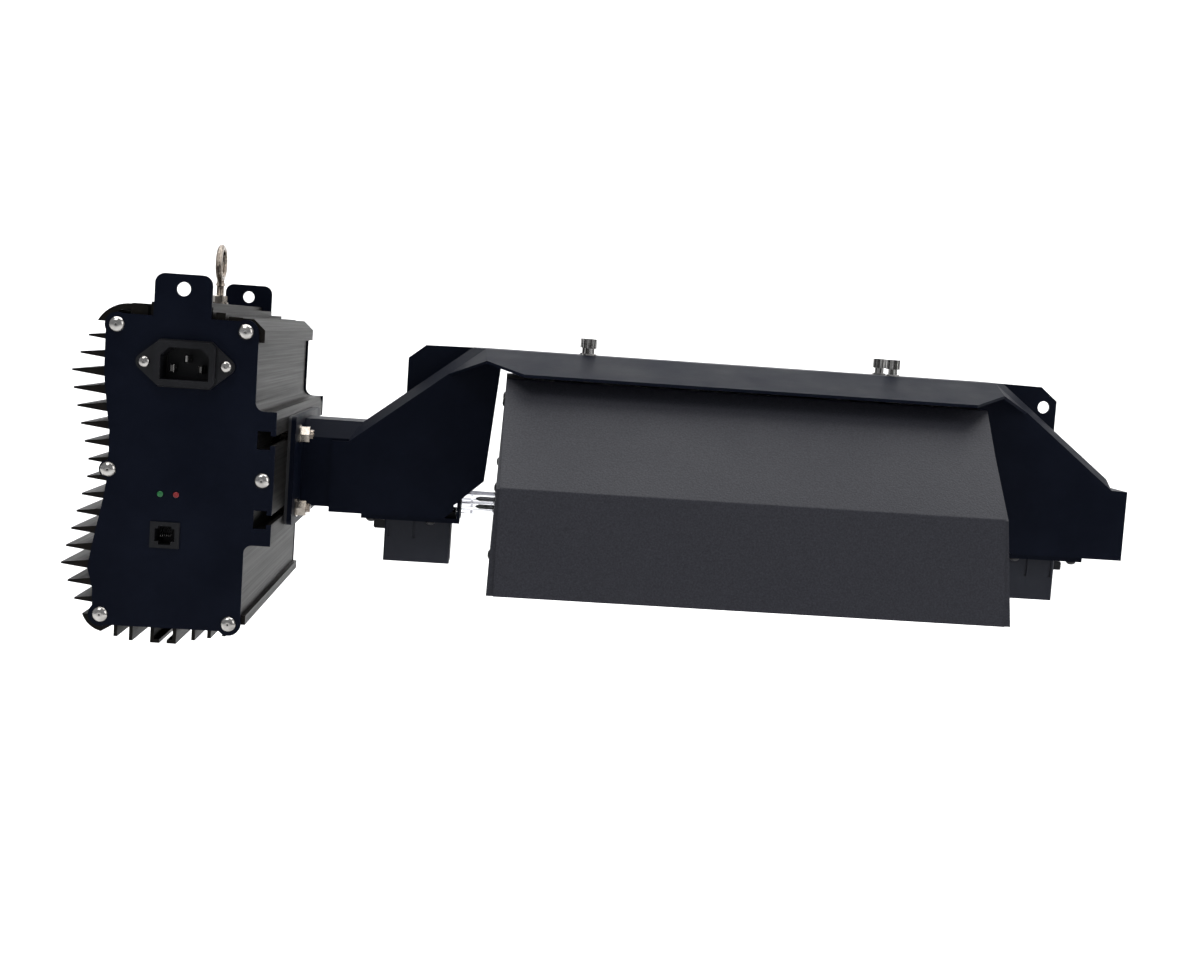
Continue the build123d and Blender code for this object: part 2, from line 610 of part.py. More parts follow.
ROOF_PLAN = [(SPINE_END_FLAT, 0), (SPINE_END_FLAT, FLAT_HALF), (SPINE_END_EDGE, BOX_HALF), (140.0, 46.0),
             (120.0, ROOF_EDGE[0])]
FALL = (SPINE_Z - ROOF_EDGE[1]) / (ROOF_EDGE[0] - BOX_HALF)
with BuildPart() as spine:
    with BuildSketch(Plane.YZ.offset(CX - 160)) as section:
        Polygon((-ROOF_EDGE[0], ROOF_EDGE[1]), (-BOX_HALF, SPINE_Z), (BOX_HALF, SPINE_Z), ROOF_EDGE,
                (ROOF_EDGE[0], ROOF_EDGE[1] - ROOF_T), (BOX_HALF, SPINE_Z - ROOF_T),
                (-BOX_HALF, SPINE_Z - ROOF_T), (-ROOF_EDGE[0], ROOF_EDGE[1] - ROOF_T), align=None)
        for y in (-BOX_HALF, BOX_HALF):
            round_corner(section, (y, SPINE_Z), 3.0)
    extrude(amount=320)
    with BuildSketch(Plane.XY.offset(SPINE_Z + 5)):
        quarter = [(CX + x, -y) for x, y in ROOF_PLAN] + [(CX - x, -y) for x, y in reversed(ROOF_PLAN)]
        Polygon(*quarter, *[(x, -y) for x, y in reversed(quarter)], align=None)
    extrude(amount=-40, mode=Mode.INTERSECT)
    for side in (-1, 1):
        for turn in (-1, 1):
            top = Vector(CX + side * SPINE_END_EDGE, turn * BOX_HALF, SPINE_Z)
            tip = Vector(CX + side * 140.0, turn * 46.0, SPINE_Z - FALL * (46.0 - BOX_HALF))
            foot = Vector(CX + side * 160.5, turn * BOX_HALF, edge_z(160.5))
            normal = (tip - top).cross(foot - top)
            if normal.Z < 0:
                normal = normal * -1
            plane = Plane(top, x_dir=tip - top, z_dir=normal)
            with BuildSketch(plane):
                Polygon(*[tuple(plane.to_local_coords(point))[:2] for point in (top, tip, foot)], align=None)
            extrude(amount=-ROOF_T)
        box(*sorted((CX + side * 138.0, CX + side * 170.0)), -BOX_HALF, BOX_HALF, -60, SPINE_Z - ROOF_T,
            Mode.SUBTRACT)
    for x in (-THUMB_X, THUMB_X):
        for y in (-THUMB_Y, THUMB_Y):
            rod((CX + x, y, SPINE_Z + 1), (0, 0, -1), THUMB_SHANK_R + 0.4, 5.0, Mode.SUBTRACT)
save(spine, "spine_cover")

EAR_T = 2.0
EAR_X = 184.0
EAR_HOLE = (176.8, -48.4)
for side, name in ((-1, "ear_left"), (1, "ear_right")):
    with BuildPart() as ear:
        with BuildSketch(Plane.XZ):
            base = [(x, edge_z(x) + RIDGE_RISE) for x in (SPINE_END_FLAT, EAR_X)]
            corners = [base[0], (174.6, -37.0), (EAR_X, -44.6), base[1]]
            Polygon(*[(CX + side * x, z) for x, z in corners], align=None)
            if side > 0:
                with Locations((CX + EAR_HOLE[0], EAR_HOLE[1])):
                    Circle(3.5, mode=Mode.SUBTRACT)
        extrude(amount=EAR_T / 2, both=True)
    save(ear, name)


# ================================================================= lamp sockets
BRACKET_TOP, BRACKET_BOTTOM = BOX_BOTTOM, BOX_BOTTOM - 2.6
SOCKET_IN, SOCKET_OUT = 154.6, 191.1
SOCKET_HALF = 12.5
SOCKET_BOTTOM = -157.2
BUTTON_Z = -138.0                      # height of the release buttons


def span(side, a, b):
    """Two socket places as rising X limits."""
    return sorted((socket_x(side, a), socket_x(side, b)))


def make_socket(side, tag):
    """Bracket, body and release button of one lamp socket."""
    with BuildPart() as bracket:
        box(*span(side, 150.0, 203.8), -20.5, 20.5, BRACKET_BOTTOM, BRACKET_TOP)
        box(*span(side, 150.0, 151.6), -20.5, 20.5, BRACKET_TOP, -119.0)
        box(*span(side, 149.0, SOCKET_IN + 1), -8.0, 8.0, BRACKET_BOTTOM - 1, -118.0, Mode.SUBTRACT)
        box(*span(side, SOCKET_IN - 0.2, SOCKET_OUT + 0.2), -SOCKET_HALF - 0.2, SOCKET_HALF + 0.2,
            BRACKET_BOTTOM - 1, BRACKET_TOP + 1, Mode.SUBTRACT)
        for x, y in bracket_holes(side):
            rod((x, y, BRACKET_TOP + 1), (0, 0, -1), 1.7, 6.0, Mode.SUBTRACT)
    save(bracket, f"socket_bracket_{tag}")

    with BuildPart() as body:
        box(*span(side, SOCKET_IN, SOCKET_OUT), -SOCKET_HALF, SOCKET_HALF, SOCKET_BOTTOM, -111.0)
        chamfer(body.edges().filter_by(Axis.Z), 0.8)
        box(*span(side, SOCKET_IN - 2.2, SOCKET_OUT + 2.2), -14.2, 14.2, BRACKET_TOP, BRACKET_TOP + 3.0)
        box(*span(side, SOCKET_IN - 3, 181.0), -3.4, 3.4, SOCKET_BOTTOM - 1, PINCH_Z + 6.6, Mode.SUBTRACT)
        box(*span(side, 180.0, SOCKET_OUT - 1.4), -2.4, 2.4, SOCKET_BOTTOM - 1, PINCH_Z + 3.4, Mode.SUBTRACT)
        for x in (174.8, 188.7):
            for y0 in (-SOCKET_HALF - 1, SOCKET_HALF - 0.8):
                box(*span(side, x - 0.7, x + 0.7), y0, y0 + 1.8, -144.0, BRACKET_BOTTOM + 1, Mode.SUBTRACT)
        box(*span(side, 176.0, SOCKET_OUT + 1), -5.4, 5.4, BUTTON_Z - 2.8, BUTTON_Z + 2.8, Mode.SUBTRACT)
    save(body, f"socket_body_{tag}")

    with BuildPart() as button:
        box(*span(side, 180.0, 197.8), -5.0, 5.0, BUTTON_Z - 2.4, BUTTON_Z + 2.4)
        box(*span(side, 179.0, 191.2), -3.0, 3.0, BUTTON_Z - 3, BUTTON_Z + 3, Mode.SUBTRACT)
        tip = button.faces().sort_by(Axis.X)[0 if side < 0 else -1]
        chamfer(tip.edges(), 0.7)
    save(button, f"socket_button_{tag}")


make_socket(-1, "left")
make_socket(1, "right")

with BuildPart() as socket_contacts:
    for side in (-1, 1):
        for y0, y1 in ((-2.4, -1.5), (1.5, 2.4)):
            box(*span(side, 182.0, 188.6), y0, y1, -129.0, PINCH_Z + 3.4)
save(socket_contacts, "socket_contacts")

bracket_screw = button_screw(2.7, 1.7, 1.5, 6.0, 1.6)
with BuildPart() as bracket_screws:
    seats = []
    for side in (-1, 1):
        for x, y in bracket_holes(side):
            seats.append(Plane((x, y, BRACKET_BOTTOM), x_dir=(1, 0, 0), z_dir=(0, 0, -1)).location)
    with Locations(*seats):
        add(bracket_screw)
save(bracket_screws, "bracket_screws")

with BuildPart() as lamp_leads:
    left_top = socket_x(-1, 173.0)
    right_top = socket_x(1, 173.0)
    wire([(54, -2.2, LEAD_Z), (74, -2.2, LEAD_Z), (88, -4, -98), (left_top, -6, -100), (left_top, -6, -111)],
         5.0, 1.6)
    wire([(54, 2.2, LEAD_Z), (70, 2.2, LEAD_Z), (86, 5, -92), (146, 6, -44.5), (430, 6, -44.5),
          (right_top, 6, -74), (right_top, 6, -111)], 6.0, 1.6)
save(lamp_leads, "lamp_leads")


# ================================================================= thumb screws
HEAD_BOTTOM, HEAD_TOP = -32.6, -27.4
WASHER_T = 0.9
WASHER_Z = SPINE_Z + 0.05
for number, (x, y) in enumerate([(-THUMB_X, -THUMB_Y), (THUMB_X, -THUMB_Y),
                                 (-THUMB_X, THUMB_Y), (THUMB_X, THUMB_Y)], start=1):
    place = Vector(CX + x, y, 0)
    with BuildPart() as washer:
        with BuildSketch(Plane.XY.offset(WASHER_Z)):
            with Locations((CX + x, y)):
                Circle(4.0)
                Circle(THUMB_SHANK_R + 0.08, mode=Mode.SUBTRACT)
        extrude(amount=WASHER_T)
    save(washer, f"thumb_washer_{number}")
    with BuildPart() as thumb:
        with BuildSketch(Plane.XY.offset(HEAD_BOTTOM)):
            with Locations((CX + x, y)):
                Circle(3.8)
                with PolarLocations(3.85, 20):
                    Circle(0.3, mode=Mode.SUBTRACT)
        extrude(amount=HEAD_TOP - HEAD_BOTTOM)
        rod((CX + x, y, HEAD_TOP - 0.8), (0, 0, 1), 2.2, 2.0, Mode.SUBTRACT)
        rod((CX + x, y, HEAD_BOTTOM), (0, 0, -1), 2.7, HEAD_BOTTOM - WASHER_Z - WASHER_T)
        rod((CX + x, y, HEAD_BOTTOM), (0, 0, -1), THUMB_SHANK_R, HEAD_BOTTOM + 47.0)
    save(thumb, f"thumb_screw_{number}")


# ================================================================= hood
def mirrored(points):
    """Complete a right-hand half section with its mirror image."""
    return points + [(-y, z) for y, z in reversed(points)]


def inset(points, gap):
    """Shift the hood's half section inwards by a gap measured square to its panels."""
    (y0, z0), (y1, z1), (y2, z2) = points
    upper = math.atan2(y1 - y0, z0 - z1)
    lower = math.atan2(y2 - y1, z1 - z2)
    middle = (upper + lower) / 2
    joint = gap / math.cos((upper - lower) / 2)
    return [(y0 - gap * math.tan(math.radians(45) - upper / 2 + 0.4), z0 - gap),
            (y1 - joint * math.cos(middle), z1 - joint * math.sin(middle)),
            (y2 - gap / math.cos(lower), z2)]


post_points = [(CX + x, y) for x in (-THUMB_X, THUMB_X) for y in (-THUMB_Y, THUMB_Y)]
with BuildPart() as hood:
    with BuildSketch(Plane.YZ.offset(CX)) as section:
        Polygon(*mirrored(HOOD_PROFILE), align=None)
        Polygon(*mirrored(inset(HOOD_PROFILE, HOOD_T)), align=None, mode=Mode.SUBTRACT)
        for y, z in mirrored(HOOD_PROFILE[:2]):
            round_corner(section, (y, z), BEND_R)
    extrude(amount=HOOD_HALF, both=True)
    for point in post_points:
        rod((*point, HOOD_PROFILE[0][1] + 1), (0, 0, -1), 2.8, 5.0, Mode.SUBTRACT)
save(hood, "hood_shell")

tilt = math.radians(END_TILT)
RIM_X = 122.0                          # inner edge of an end wall's rim, which lies under the shell
RIVETS = [(side * y, z) for side in (-1, 1) for y, z in ((40, -64), (84, -106), (104, -138))]


def end_plane(side):
    """Inner face of an end wall, flaring outwards towards the bottom."""
    return Plane((CX + side * END_TOP_X, 0, END_TOP_Z), x_dir=(0, side, 0),
                 z_dir=(side * math.cos(tilt), 0, math.sin(tilt)))


def down_wall(z):
    """Distance along an end wall from its top edge to height z, negative downwards."""
    return (z - END_TOP_Z) / math.cos(tilt)


for side, name in ((-1, "hood_end_left"), (1, "hood_end_right")):
    with BuildPart() as end:
        with BuildSketch(Plane.YZ.offset(CX + side * RIM_X)):
            Polygon(*mirrored(inset(HOOD_PROFILE, 1.25)), align=None)
            Polygon(*mirrored(inset(HOOD_PROFILE, 2.35)), align=None, mode=Mode.SUBTRACT)
        extrude(amount=side * 14.0)
        split(bisect_by=end_plane(side).offset(HOOD_T), keep=Keep.BOTTOM)
        with BuildSketch(end_plane(side)) as outline:
            rim = [(y, down_wall(z)) for y, z in inset(HOOD_PROFILE, 1.3)]
            rim[0] = (rim[0][0] - 0.8, 0.0)
            rim[2] = (rim[2][0] - 0.6, rim[2][1] + 1.0)
            Polygon(*mirrored(rim), align=None)
            round_corner(outline, rim[2], 6.0)
            round_corner(outline, (-rim[2][0], rim[2][1]), 6.0)
            axis_y = down_wall(PINCH_Z)
            with Locations((0, axis_y)):
                Circle(8.5, mode=Mode.SUBTRACT)
            with Locations((0, axis_y - 30)):
                Rectangle(17.0, 60.0, mode=Mode.SUBTRACT)
            with Locations(*[(y, down_wall(z)) for y, z in RIVETS]):
                Circle(1.1, mode=Mode.SUBTRACT)
        extrude(amount=HOOD_T)
    save(end, name)

LINER_T = 0.8
LINER_HALF = 123.5
with BuildPart() as liner:
    with BuildSketch(Plane.YZ.offset(CX)):
        gull = [(0.0, -68.0), (26.0, -57.0), (50.0, -56.0), (99.5, -108.5), (112.0, -156.0)]
        under = [(0.0, -68.0 - LINER_T), (26.2, -57.0 - LINER_T), (49.6, -56.0 - LINER_T),
                 (98.8, -108.9), (112.0 - LINER_T, -156.0)]
        Polygon(*mirrored(gull[1:]), (0.0, -68.0), align=None)
        Polygon(*mirrored(under[1:]), (0.0, -68.0 - LINER_T), align=None, mode=Mode.SUBTRACT)
    extrude(amount=LINER_HALF, both=True)
save(liner, "reflector_liner")

with BuildPart() as hood_posts:
    for point in post_points:
        with BuildSketch(Plane.XY.offset(HOOD_PROFILE[0][1])):
            with Locations(point):
                hexagon(8.0)
                Circle(THUMB_SHANK_R + 0.08, mode=Mode.SUBTRACT)
        extrude(amount=POST_TOP - HOOD_PROFILE[0][1])
        with BuildSketch(Plane.XY.offset(HOOD_PROFILE[0][1])):
            with Locations(point):
                Circle(2.75)
                Circle(THUMB_SHANK_R + 0.08, mode=Mode.SUBTRACT)
        extrude(amount=-HOOD_T)
save(hood_posts, "hood_posts")

rivet = button_screw(2.4, 1.0, 1.1, HOOD_T, 0.5)
with BuildPart() as hood_rivets:
    for side in (-1, 1):
        with Locations(end_plane(side).offset(HOOD_T).location):
            with Locations(*[(y, down_wall(z)) for y, z in RIVETS]):
                add(rivet)
save(hood_rivets, "hood_rivets")


# ================================================================= lamp
TUBE_HALF = 104.0
NECK_HALF = 122.0
PINCH_END = 176.0
EDGE_BEAD_R = 1.3                      # beads along the edges and the middle of a flat pinch
with BuildPart() as envelope:
    with BuildSketch(Plane.XZ.offset(0)) as half:
        with BuildLine():
            Polyline((-NECK_HALF, 0), (-NECK_HALF, 3.0), (-TUBE_HALF - 6, TUBE_R - 3.0), (-TUBE_HALF, TUBE_R),
                     (TUBE_HALF, TUBE_R), (TUBE_HALF + 6, TUBE_R - 3.0), (NECK_HALF, 3.0), (NECK_HALF, 0),
                     (-NECK_HALF, 0))
        make_face()
        with BuildLine():
            wall = 1.3
            Polyline((-NECK_HALF + 5, 0), (-TUBE_HALF - 5, TUBE_R - 3.4 - wall), (-TUBE_HALF, TUBE_R - wall),
                     (TUBE_HALF, TUBE_R - wall), (TUBE_HALF + 5, TUBE_R - 3.4 - wall), (NECK_HALF - 5, 0),
                     (-NECK_HALF + 5, 0))
        make_face(mode=Mode.SUBTRACT)
    revolve(axis=Axis.X)
    for side in (-1, 1):
        box(*sorted((side * (NECK_HALF - 4), side * PINCH_END)), -1.0, 1.0, -5.2, 5.2)
        box(*sorted((side * 141.4, side * 142.8)), -2.6, 2.6, -5.8, 5.8)
        for z in (-5.2, 0, 5.2):
            rod((side * (NECK_HALF - 2), 0, z), (side, 0, 0), EDGE_BEAD_R, PINCH_END - NECK_HALF)
        rod((side * 105, 0, 0), (side, 0, 0), 0.8, 15.0, Mode.SUBTRACT)
    envelope.part.position = (LAMP_X, 0, PINCH_Z)
save(envelope, "lamp_envelope")

with BuildPart() as arc_tube:
    rod((-78, 0, 0), (1, 0, 0), 4.8, 156)
    fillet(arc_tube.edges().filter_by(GeomType.CIRCLE), 2.0)
    rod((-86, 0, 0), (1, 0, 0), 2.2, 172)
    arc_tube.part.position = (LAMP_X, 0, PINCH_Z)
save(arc_tube, "arc_tube")

with BuildPart() as lamp_pins:
    for side in (-1, 1):
        rod((side * PINCH_END, 0, 0), (side, 0, 0), 1.0, LAMP_HALF - PINCH_END)
        rod((side * 86, 0, 0), (side, 0, 0), 0.8, 34.0)
    lamp_pins.part.position = (LAMP_X, 0, PINCH_Z)
save(lamp_pins, "lamp_pins")
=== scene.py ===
"""Looks of the double-ended grow lamp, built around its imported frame. Units are metres."""

import math

import bmesh
import bpy
from mathutils import Matrix, Vector


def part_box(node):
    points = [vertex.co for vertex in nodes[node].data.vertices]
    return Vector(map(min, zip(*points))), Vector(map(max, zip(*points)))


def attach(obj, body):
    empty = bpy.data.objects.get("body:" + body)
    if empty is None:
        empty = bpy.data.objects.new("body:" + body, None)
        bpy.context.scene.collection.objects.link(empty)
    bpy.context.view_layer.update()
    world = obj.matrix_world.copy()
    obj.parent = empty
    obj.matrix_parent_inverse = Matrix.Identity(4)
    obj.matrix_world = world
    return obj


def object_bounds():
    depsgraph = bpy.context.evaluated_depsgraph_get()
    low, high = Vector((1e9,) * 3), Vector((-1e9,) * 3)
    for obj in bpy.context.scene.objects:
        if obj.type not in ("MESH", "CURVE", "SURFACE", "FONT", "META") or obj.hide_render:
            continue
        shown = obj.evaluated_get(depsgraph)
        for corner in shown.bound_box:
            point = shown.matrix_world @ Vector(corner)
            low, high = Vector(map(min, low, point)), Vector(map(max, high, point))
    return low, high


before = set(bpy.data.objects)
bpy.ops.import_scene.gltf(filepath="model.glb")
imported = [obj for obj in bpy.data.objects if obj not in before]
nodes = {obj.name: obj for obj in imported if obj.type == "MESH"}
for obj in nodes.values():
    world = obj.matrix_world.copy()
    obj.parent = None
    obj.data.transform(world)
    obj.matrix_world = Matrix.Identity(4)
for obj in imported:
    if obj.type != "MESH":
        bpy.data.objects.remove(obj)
cad_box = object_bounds()
scene = bpy.context.scene

# ------------------------------------------------------------------ camera
CAMERA_PLACE = (0.160, -0.9349, -0.025)
LENS = 50
SENSOR = 36
# the picture's own axes, as unit vectors in the frame
RIGHT = Vector((0.99615108, -0.05428633, 0.06881872))
DOWN = Vector((0.06375367, -0.09007951, -0.99389192))
AHEAD = Vector((0.0601539, 0.99445396, -0.08627185))

camera_data = bpy.data.cameras.new("camera")
camera_data.lens = LENS
camera_data.sensor_width = SENSOR
camera_data.clip_end = 40
camera = bpy.data.objects.new("camera", camera_data)
scene.collection.objects.link(camera)
turn = Matrix((RIGHT, -DOWN, -AHEAD)).transposed()
camera.matrix_world = Matrix.Translation(CAMERA_PLACE) @ turn.to_4x4()
scene.camera = camera

scene.view_settings.view_transform = "Standard"
scene.view_settings.look = "None"


lamp_low, lamp_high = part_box("lamp_envelope")
lamp = (lamp_low + lamp_high) / 2


# ------------------------------------------------------------------ material helpers
class Paint:
    """A principled material built step by step in object coordinates, in metres."""

    def __init__(self, name, colour=(0.5, 0.5, 0.5), rough=0.5, metallic=0.0, specular=0.5):
        self.mat = bpy.data.materials.new(name)
        self.mat.use_nodes = True
        self.tree = self.mat.node_tree
        self.shader = self.tree.nodes["Principled BSDF"]
        self.set("Base Color", (*colour, 1.0))
        self.set("Roughness", rough)
        self.set("Metallic", metallic)
        self.set("Specular IOR Level", specular)
        self.place = self.tree.nodes.new("ShaderNodeTexCoord").outputs["Object"]
        self.relief = None

    def set(self, socket, value):
        """Set a constant on the shader's own socket."""
        self.shader.inputs[socket].default_value = value
        return self

    def link(self, a, b):
        self.tree.links.new(a, b)

    def noise(self, scale, stretch=(1, 1, 1), detail=3.0, rough=0.55):
        """Noise pattern, optionally stretched along an axis."""
        mapping = self.tree.nodes.new("ShaderNodeMapping")
        mapping.inputs["Scale"].default_value = stretch
        self.link(self.place, mapping.inputs["Vector"])
        node = self.tree.nodes.new("ShaderNodeTexNoise")
        node.inputs["Scale"].default_value = scale
        node.inputs["Detail"].default_value = detail
        node.inputs["Roughness"].default_value = rough
        self.link(mapping.outputs["Vector"], node.inputs["Vector"])
        return node.outputs["Fac"]

    def cells(self, scale, feature="F1"):
        """Voronoi distance pattern."""
        node = self.tree.nodes.new("ShaderNodeTexVoronoi")
        node.feature = feature
        node.inputs["Scale"].default_value = scale
        self.link(self.place, node.inputs["Vector"])
        return node.outputs["Distance"]

    def bands(self, scale, axis="Z"):
        """Even bands across an axis, such as a thread or the turns of a winding."""
        node = self.tree.nodes.new("ShaderNodeTexWave")
        node.wave_type = "BANDS"
        node.bands_direction = axis
        node.inputs["Scale"].default_value = scale
        self.link(self.place, node.inputs["Vector"])
        return node.outputs["Fac"]

    def part(self, vector, axis):
        """One component of a vector output."""
        node = self.tree.nodes.new("ShaderNodeSeparateXYZ")
        self.link(vector, node.inputs[0])
        return node.outputs[axis]

    def maths(self, kind, a, b=0.0):
        """A maths node on a value and a number or another value."""
        node = self.tree.nodes.new("ShaderNodeMath")
        node.operation = kind
        self.link(a, node.inputs[0])
        if isinstance(b, float):
            node.inputs[1].default_value = b
        else:
            self.link(b, node.inputs[1])
        return node.outputs[0]

    def ramp(self, value, low, high, out_low, out_high):
        """Map a pattern to a range, clamped."""
        node = self.tree.nodes.new("ShaderNodeMapRange")
        limits = {"From Min": low, "From Max": high, "To Min": out_low, "To Max": out_high}
        for name, number in limits.items():
            node.inputs[name].default_value = number
        self.link(value, node.inputs["Value"])
        return node.outputs["Result"]

    def mottle(self, scale, detail=3.0):
        """Soft patches, 0 to 1."""
        return self.ramp(self.noise(scale, detail=detail), 0.3, 0.7, 0.0, 1.0)

    def tint(self, value, first, second):
        """Colour the surface between two colours by a pattern."""
        node = self.tree.nodes.new("ShaderNodeMix")
        node.data_type = "RGBA"
        self.link(value, node.inputs["Factor"])
        node.inputs["A"].default_value = (*first, 1.0)
        node.inputs["B"].default_value = (*second, 1.0)
        self.link(node.outputs["Result"], self.shader.inputs["Base Color"])
        return self

    def gloss(self, value, low, high, rough_low, rough_high):
        """Vary roughness by a pattern."""
        rough = self.ramp(value, low, high, rough_low, rough_high)
        self.link(rough, self.shader.inputs["Roughness"])
        return self

    def bump(self, value, distance, strength=1.0):
        """Raise the surface by a pattern, on top of any earlier relief."""
        node = self.tree.nodes.new("ShaderNodeBump")
        node.inputs["Strength"].default_value = strength
        node.inputs["Distance"].default_value = distance
        self.link(value, node.inputs["Height"])
        if self.relief:
            self.link(self.relief, node.inputs["Normal"])
        self.relief = node.outputs["Normal"]
        self.link(self.relief, self.shader.inputs["Normal"])
        return self


def frame_powder():
    """Blue-black satin powder coat of the sheet-metal frame and the end plates."""
    p = Paint("frame_powder", (0.0026, 0.0040, 0.0095), 0.50, 0.0, 0.06)
    cloud = p.noise(26, detail=4)
    grain = p.noise(1500, detail=2)
    p.tint(p.ramp(cloud, 0.35, 0.68, 0.0, 1.0), (0.0016, 0.0029, 0.0080), (0.0036, 0.0054, 0.0122))
    p.gloss(cloud, 0.3, 0.7, 0.42, 0.56)
    p.bump(grain, 0.00006, 0.35).bump(p.noise(420, detail=3), 0.00008, 0.25)
    return p.mat


def hood_powder():
    """Charcoal powder coat with a fine sandy texture."""
    p = Paint("hood_powder", (0.017, 0.0175, 0.020), 0.56, 0.0, 0.38)
    speck = p.noise(1150, detail=2, rough=0.7)
    cloud = p.noise(14, detail=4)
    p.tint(p.ramp(speck, 0.34, 0.70, 0.0, 1.0), (0.0116, 0.0122, 0.0178), (0.0245, 0.0250, 0.0335))
    p.gloss(cloud, 0.3, 0.7, 0.50, 0.60)
    p.bump(p.cells(900), 0.00014, 0.45).bump(speck, 0.00010, 0.5)
    return p.mat


def anodised():
    """Black anodised extrusion with die lines along its length."""
    p = Paint("anodised", (0.004, 0.004, 0.004), 0.50, 0.0, 0.10)
    lines = p.noise(900, (1, 0.006, 1), detail=4, rough=0.7)
    wide = p.noise(150, (1, 0.01, 1), detail=2)
    p.tint(p.ramp(wide, 0.3, 0.7, 0.0, 1.0), (0.0030, 0.0030, 0.0032), (0.0070, 0.0062, 0.0054))
    p.set("Specular Tint", (1.0, 0.93, 0.84, 1.0))
    p.gloss(lines, 0.3, 0.7, 0.44, 0.56)
    p.bump(lines, 0.00002, 0.30).bump(p.noise(2600, detail=1), 0.00003, 0.3)
    return p.mat


def stainless(name="stainless", ridged_with_groove_shade=False, thread=0.0,
              first=(0.36, 0.345, 0.325), second=(0.58, 0.565, 0.54)):
    """Bright stainless steel, with upright ridges whose grooves carry painted shade, or a rolled
    thread where asked.
    """
    p = Paint(name, second, 0.20, 1.0, 0.5)
    scuff = p.noise(700, detail=4, rough=0.65)
    p.tint(p.ramp(p.noise(180, detail=3), 0.35, 0.7, 0.0, 1.0), first, second)
    p.gloss(scuff, 0.3, 0.7, 0.12, 0.26)
    if ridged_with_groove_shade:
        ridges = p.noise(900, (1, 1, 0.04), detail=1)
        # the low parts of the ridges are coloured far darker than the steel: painted shade in the
        # knurl grooves
        p.tint(p.ramp(ridges, 0.40, 0.60, 0.0, 1.0), tuple(0.35 * c for c in first), second)
        p.bump(ridges, 0.0004, 0.8)
    if thread:
        p.bump(p.bands(thread), 0.00025, 0.7)
    p.bump(scuff, 0.00002, 0.3)
    return p.mat


def reflector():
    """Bright hammered aluminium sheet."""
    p = Paint("reflector", (0.86, 0.87, 0.89), 0.12, 1.0, 0.5)
    dimples = p.cells(170, "SMOOTH_F1")
    p.tint(p.mottle(60), (0.80, 0.81, 0.83), (0.90, 0.91, 0.92))
    p.gloss(p.noise(300), 0.3, 0.7, 0.08, 0.18)
    p.bump(dimples, 0.0009, 0.8)
    return p.mat


def moulded(name, first, second, rough=0.42, grain=1800, depth=0.00004, specular=0.4):
    """Moulded plastic with a fine spark-eroded grain and slight flow marks."""
    p = Paint(name, first, rough, 0.0, specular)
    flow = p.noise(55, detail=3)
    p.tint(p.ramp(flow, 0.3, 0.7, 0.0, 1.0), first, second)
    p.gloss(flow, 0.3, 0.7, rough - 0.06, rough + 0.07)
    p.bump(p.noise(grain, detail=2), depth, 0.4)
    return p.mat


def lens(name, first, second):
    """Coloured light pipe, diffused and glossy on the outside."""
    p = Paint(name, first, 0.18, 0.0, 0.5)
    p.tint(p.mottle(900, 2), first, second)
    p.gloss(p.noise(400), 0.3, 0.7, 0.12, 0.24)
    p.set("Coat Weight", 0.25).set("Coat Roughness", 0.05)
    p.bump(p.noise(1200), 0.00002, 0.3)
    return p.mat


def circuit():
    """Green solder mask with faint tracks and pads."""
    p = Paint("pcb", (0.012, 0.07, 0.025), 0.30, 0.0, 0.5)
    tracks = p.cells(240, "DISTANCE_TO_EDGE")
    p.tint(p.ramp(tracks, 0.02, 0.06, 1.0, 0.0), (0.010, 0.060, 0.022), (0.030, 0.130, 0.045))
    p.gloss(tracks, 0.0, 0.3, 0.42, 0.26)
    p.bump(tracks, 0.00008, 0.4)
    return p.mat


def winding():
    """Enamelled copper turns on dark ferrite."""
    p = Paint("winding", (0.30, 0.10, 0.04), 0.32, 0.4, 0.5)
    turns = p.bands(190, "Z")
    p.tint(p.ramp(turns, 0.2, 0.8, 0.0, 1.0), (0.035, 0.018, 0.012), (0.42, 0.15, 0.06))
    p.gloss(turns, 0.0, 1.0, 0.5, 0.25)
    p.bump(turns, 0.0003, 0.8)
    return p.mat


def sleeve():
    """Silicone sleeve with a braided surface."""
    p = Paint("lead_sleeve", (0.015, 0.015, 0.016), 0.6, 0.0, 0.35)
    weave = p.cells(1300)
    p.tint(p.ramp(weave, 0.1, 0.6, 0.0, 1.0), (0.010, 0.010, 0.011), (0.030, 0.030, 0.032))
    p.gloss(weave, 0.1, 0.6, 0.5, 0.7)
    p.bump(weave, 0.0002, 0.6)
    return p.mat


# how far from the lamp's middle its dark streaks fade in and are full
BULB_HALF, PINCH_START = 0.105, 0.120


def quartz():
    """Clear fused quartz, with dark streaks in its two flat pinches."""
    p = Paint("quartz", (0.90, 0.91, 0.93), 0.03, 0.0, 0.5)
    p.set("Transmission Weight", 1.0).set("IOR", 1.46)
    lines = p.noise(900, (0.02, 1, 1), detail=2)
    along = p.maths("ABSOLUTE", p.maths("SUBTRACT", p.part(p.place, "X"), lamp.x))
    pinch = p.ramp(along, BULB_HALF, PINCH_START, 0.0, 1.0)
    streaks = p.ramp(lines, 0.46, 0.56, 0.0, 1.0)
    p.tint(p.maths("MULTIPLY", pinch, streaks), (0.96, 0.97, 1.0), (0.16, 0.16, 0.18))
    p.gloss(lines, 0.3, 0.7, 0.01, 0.07)
    p.bump(lines, 0.00012, 0.35)
    return p.mat


def foil():
    """Dull molybdenum foil, slightly creased."""
    p = Paint("foil", (0.30, 0.30, 0.32), 0.38, 0.5, 0.5)
    p.tint(p.mottle(420), (0.20, 0.20, 0.22), (0.42, 0.42, 0.44))
    p.gloss(p.noise(900), 0.3, 0.7, 0.30, 0.46)
    p.bump(p.noise(500, detail=2), 0.00010, 0.5)
    return p.mat


